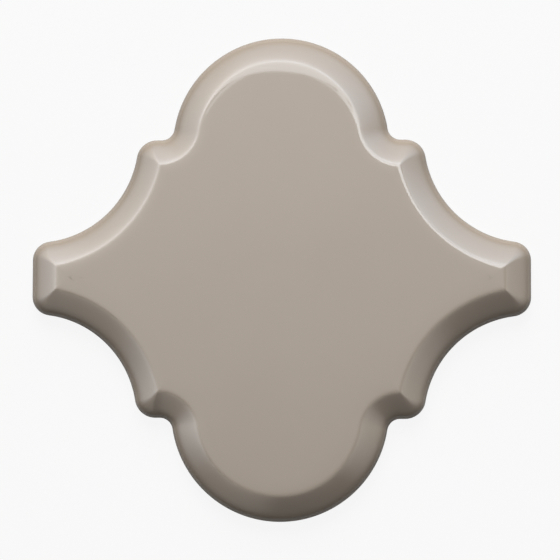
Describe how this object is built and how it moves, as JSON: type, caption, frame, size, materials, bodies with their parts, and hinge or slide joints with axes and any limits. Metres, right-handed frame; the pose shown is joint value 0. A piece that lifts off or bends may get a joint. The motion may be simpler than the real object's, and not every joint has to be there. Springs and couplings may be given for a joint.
{
  "type": "arabesque tile",
  "caption": "Glazed ceramic arabesque (lantern) tile with round lobes, hollow waists, blunt tips, a bevelled glossy taupe face and a keyed unglazed back, for wall and splashback work.",
  "frame": {"origin": "middle of the back face, on the surface that the tile lies on", "axes": "+Z out of the glazed face, +X through the two tips (the longer way), +Y through the two lobes"},
  "size_m": [0.15, 0.1456, 0.0097],
  "materials": {
    "taupe_glaze": "glossy taupe glaze over a pale unglazed body that shows on the back and the foot of the wall"
  },
  "bodies": {
    "root": {"arabesque_tile": "taupe_glaze"}
  },
  "joints": []
}
